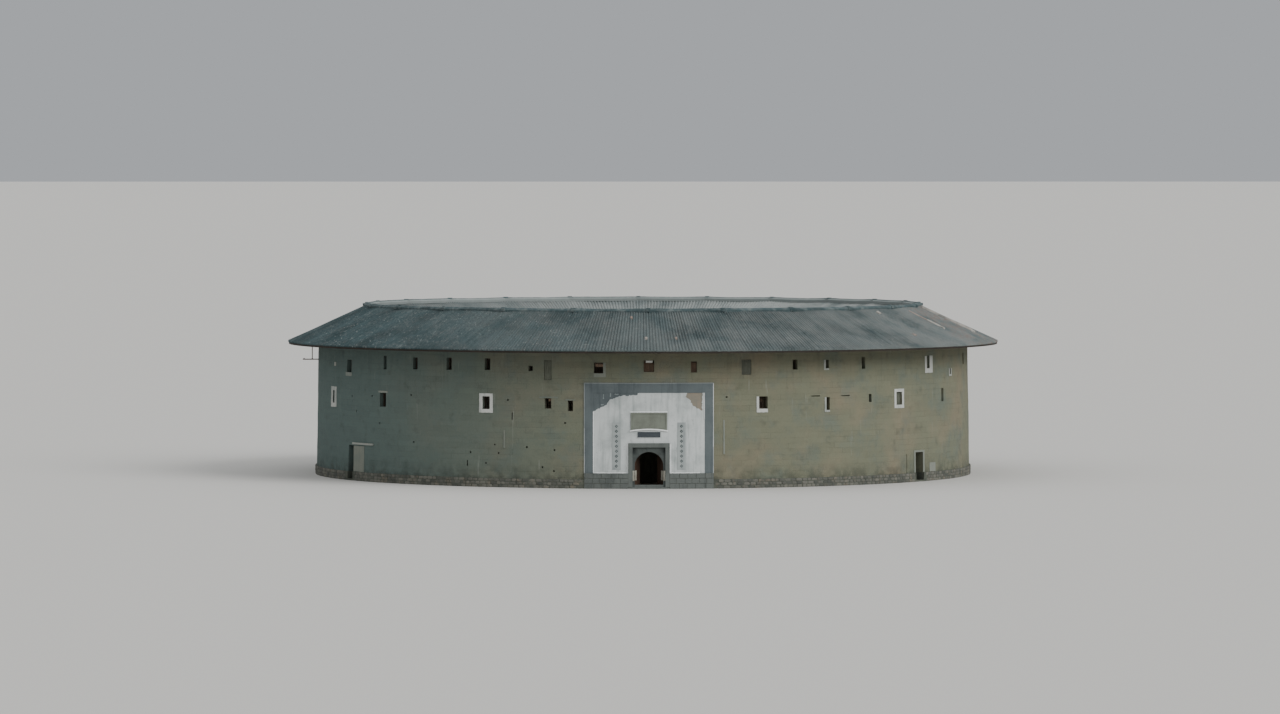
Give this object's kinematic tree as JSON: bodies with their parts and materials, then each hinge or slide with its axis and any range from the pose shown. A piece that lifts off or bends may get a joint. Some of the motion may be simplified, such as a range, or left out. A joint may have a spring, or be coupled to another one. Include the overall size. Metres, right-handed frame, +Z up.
{
  "type": "tulou roundhouse",
  "caption": "Half-size model of a round rammed-earth communal house with a ring-shaped tiled roof, an open court, timber galleries and a plastered, stone-framed gate.",
  "frame": {"origin": "on the ground, at the centre of the courtyard", "axes": "+Z up, the gate faces -Y, +X to the right of someone who faces the gate"},
  "size_m": [28.4, 28.4, 6.8424],
  "materials": {
    "earth": "rammed earth, dry and weathered",
    "rubble": "rough river stone",
    "granite": "dressed grey granite",
    "plaster": "lime plaster, stained and partly fallen",
    "border": "blue-grey limewash",
    "tile": "fired clay tile, dark grey",
    "timber": "bare fir, weathered brown",
    "gate": "heavy boards, dark brown"
  },
  "bodies": {
    "house": {"dado_left": "granite", "dado_right": "granite", "floor_2": "timber", "floor_3": "timber", "floor_4": "timber", "footing_back_left": "rubble", "footing_back_right": "rubble", "footing_front_left": "rubble", "footing_front_right": "rubble", "gallery_frame_1": "timber", "gallery_frame_2": "timber", "gallery_frame_3": "timber", "gallery_frame_4": "timber", "gallery_frame_5": "timber", "gallery_frame_6": "timber", "gallery_frame_7": "timber", "gallery_frame_8": "timber", "gallery_railing_2": "timber", "gallery_railing_3": "timber", "gallery_railing_4": "timber", "gate_arch": "granite", "gate_border": "border", "gate_head_beam": "timber", "gate_lintel": "granite", "gate_paving": "granite", "gate_plaster": "plaster", "gate_post_left": "granite", "gate_post_right": "granite", "gate_screen": "timber", "ground_floor": "rubble", "name_slab": "granite", "pole_rack": "timber", "roof_courtyard_slope": "tile", "roof_outer_slope": "tile", "roof_ridge": "tile", "wall_back_left": "earth", "wall_back_left_side": "earth", "wall_back_right": "earth", "wall_back_right_side": "earth", "wall_front_left": "earth", "wall_front_left_mid": "earth", "wall_front_left_side": "earth", "wall_front_right": "earth", "wall_front_right_end": "earth", "wall_front_right_mid": "earth", "wall_front_right_side": "earth", "wall_left": "earth", "wall_over_gate": "earth", "wall_over_right_doorway": "earth", "wall_right": "earth"},
    "left_leaf": {"gate_leaf_left": "gate"},
    "right_leaf": {"gate_leaf_right": "gate"}
  },
  "joints": [
    {"name": "left_leaf_swing", "type": "hinge", "parent": "house", "child": "left_leaf", "pos_m": [-0.59, -12.8775, 0.75], "axis": [0, 0, 1], "range_deg": [-66, 24]},
    {"name": "right_leaf_swing", "type": "hinge", "parent": "house", "child": "right_leaf", "pos_m": [0.59, -12.8775, 0.75], "axis": [0, 0, -1], "range_deg": [-66, 24]}
  ]
}
